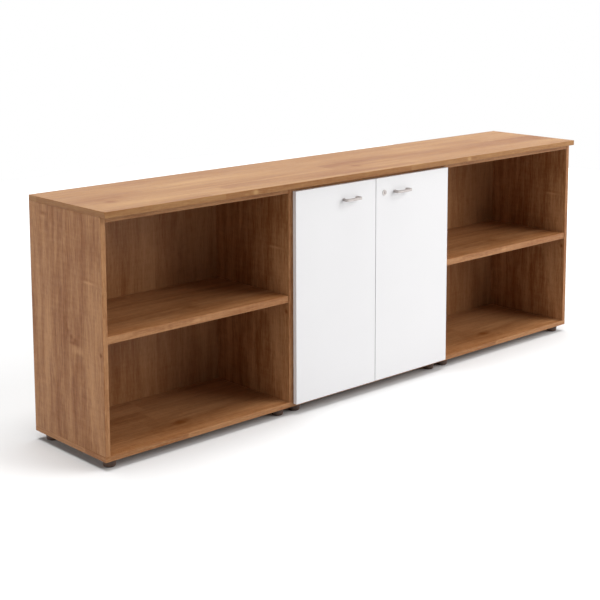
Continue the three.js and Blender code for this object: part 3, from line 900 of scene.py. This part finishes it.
small_head = screw_head("small_screw", *SMALL_SCREW)
arm_head = screw_head("arm_screw", *ARM_SCREW)
wide_head = screw_head("wide_screw", *WIDE_SCREW)
plate_places = []
arm_places = []
for hand, inward in (("left", 1), ("right", -1)):
    cup_places = []
    handle_places = []
    for level in HINGE_LEVELS:
        for side in (-1, 1):
            across, behind, rise = CUP_SCREW_PLACE
            place = (inward * (across - DOOR_OUTER), DOOR_BACK + behind, level + side * rise)
            cup_places.append((place, (0, 1, 0)))
            across, behind, rise = PLATE_SCREW_PLACE
            place = (inward * (across - DOOR_OUTER), CARCASE_FRONT + behind, level + side * rise)
            plate_places.append((place, (inward, 0, 0)))
        for behind in ARM_SCREWS:
            place = (inward * (ARM_WEB - DOOR_OUTER), DOOR_BACK + behind, level)
            arm_places.append((place, (inward, 0, 0)))
    for side in (-1, 1):
        across = side * HANDLE_SCREW_SPREAD - inward * HANDLE_CENTRE
        handle_places.append(((across, DOOR_BACK, FITTING_LEVEL), (0, 1, 0)))
    screw_group(f"cup_screws_{hand}", small_head, f"{hand}_door", cup_places)
    screw_group(f"handle_screws_{hand}", wide_head, f"{hand}_door", handle_places)
screw_group("plate_screws", small_head, "carcase", plate_places)
screw_group("arm_screws", arm_head, "carcase", arm_places)
strike_places = []
for side in (-1, 1):
    place = (LOCK_X + side * STRIKE_SCREW_SPREAD, STRIKE_SCREW_Y, CEILING - STRIKE_SHEET)
    strike_places.append((place, (0, 0, -1)))
screw_group("strike_screws", small_head, "carcase", strike_places)

# Studio
# A wide pale floor and an even white surround. One broad lamp hangs far overhead, a second stands
# at the right front, near enough to light that end more, and a weak one is far off at the left.
FLOOR_REACH = 5.0
FLOOR_CORNERS = ((-1, -1), (1, -1), (1, 1), (-1, 1))
FLOOR_BOUNCE = 0.44
FLOOR_SEEN = 0.74
FLOOR_AFAR = 0.95
FLOOR_PALES = (2, 4.5)
AMBIENT = 0.16
SEEN_BY = ("Camera", "Glossy", "Transmission")
LAMP_AIM = Vector((0, 0, 0.4))
FAR_AWAY = None
# Azimuth, elevation and spread in degrees, level, and distance in metres
LAMPS = {
    "overhead": (0, 90, 40, 1.05, FAR_AWAY),
    "key": (43, 26, 45, 0.78, 8),
    "fill": (270, 10, 40, 0.38, FAR_AWAY),
}


def grey(level):
    """A plain grey as the shader takes it."""
    return (level, level, level, 1.0)


def seen_rays(finish):
    """1 for the rays that show a thing itself, 0 for those that only carry its light."""
    rays = [finish.node("ShaderNodeLightPath", {}, {}, f"Is {kind} Ray") for kind in SEEN_BY]
    return finish.math("MAXIMUM", finish.math("MAXIMUM", rays[0], rays[1]), rays[2])


def floor_finish(name):
    """Matt paint that looks paler far off, and throws back less light than it shows."""
    material, shader, finish = new_finish(name, roughness=0.9, specular_ior_level=0.0)
    x, y = finish.place()[:2]
    afar = ((x * x + y * y) ** 0.5).rise(*FLOOR_PALES)
    seen_colour = afar.tint(grey(FLOOR_SEEN), grey(FLOOR_AFAR))
    colour = seen_rays(finish).tint(grey(FLOOR_BOUNCE), seen_colour)
    finish.tree.links.new(colour.socket, shader.inputs["Base Color"])
    return material


def direction(azimuth, elevation):
    """The way to a place round the object: azimuth 0 is in front of it and 90 at its right."""
    turn, lift = math.radians(azimuth), math.radians(elevation)
    ahead = math.cos(lift)
    return Vector((math.sin(turn) * ahead, -math.cos(turn) * ahead, math.sin(lift)))


floor_mesh = bpy.data.meshes.new("floor")
floor_points = [(FLOOR_REACH * a, FLOOR_REACH * b, 0) for a, b in FLOOR_CORNERS]
floor_mesh.from_pydata(floor_points, [], [(0, 1, 2, 3)])
floor_mesh.materials.append(floor_finish("floor_paint"))
floor = bpy.data.objects.new("floor", floor_mesh)
bpy.context.scene.collection.objects.link(floor)
floor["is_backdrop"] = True

world = bpy.data.worlds.new("studio")
world.use_nodes = True
bpy.context.scene.world = world
background = world.node_tree.nodes["Background"]
background.inputs["Color"].default_value = grey(1)
strength = AMBIENT + (1 - AMBIENT) * seen_rays(Finish(world.node_tree))
world.node_tree.links.new(strength.socket, background.inputs["Strength"])

for name, (azimuth, elevation, spread, level, distance) in LAMPS.items():
    towards = direction(azimuth, elevation)
    angle = math.radians(spread)
    lamp = bpy.data.lights.new(name, "AREA" if distance else "SUN")
    lamp_object = bpy.data.objects.new(name, lamp)
    bpy.context.scene.collection.objects.link(lamp_object)
    if distance:
        lamp.shape = "DISK"
        lamp.size = 2 * distance * math.tan(angle / 2)
        lamp.energy = level * (math.pi * distance / math.cos(angle / 2)) ** 2
        lamp_object.location = LAMP_AIM + distance * towards
    else:
        lamp.angle = angle
        lamp.energy = level * math.pi
    lamp_object.rotation_mode = "QUATERNION"
    lamp_object.rotation_quaternion = towards.to_track_quat("Z", "Y")
    lamp_object.visible_camera = False
    lamp_object.visible_glossy = False

# Camera
# At the left front and about as high as the eyes, as the photograph was taken.
# The lens is long and its frame is shifted down, so that the view stays nearly level.
CAMERA_PLACE = (-3.49947, -3.59885, 1.60594)
AZIMUTH = -42.58
ELEVATION = 8.07
ROLL = math.radians(-0.16)
SENSOR_WIDTH = 36
LENS_LENGTH = 80.645
FRAME_SHIFT = -0.25
SIGHT_LIMIT = 500
camera_data = bpy.data.cameras.new("camera")
camera_data.sensor_width = SENSOR_WIDTH
camera_data.lens = LENS_LENGTH
camera_data.shift_y = FRAME_SHIFT
camera_data.clip_end = SIGHT_LIMIT
camera = bpy.data.objects.new("camera", camera_data)
bpy.context.scene.collection.objects.link(camera)
back = direction(AZIMUTH, ELEVATION)
right = direction(AZIMUTH + 90, 0)
up = back.cross(right)
rolled_right = right * math.cos(ROLL) + up * math.sin(ROLL)
rolled_up = up * math.cos(ROLL) - right * math.sin(ROLL)
turn = Matrix((rolled_right, rolled_up, back)).transposed()
camera.matrix_world = Matrix.Translation(CAMERA_PLACE) @ turn.to_4x4()
bpy.context.scene.camera = camera
bpy.context.scene.view_settings.view_transform = "Standard"

low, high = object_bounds()
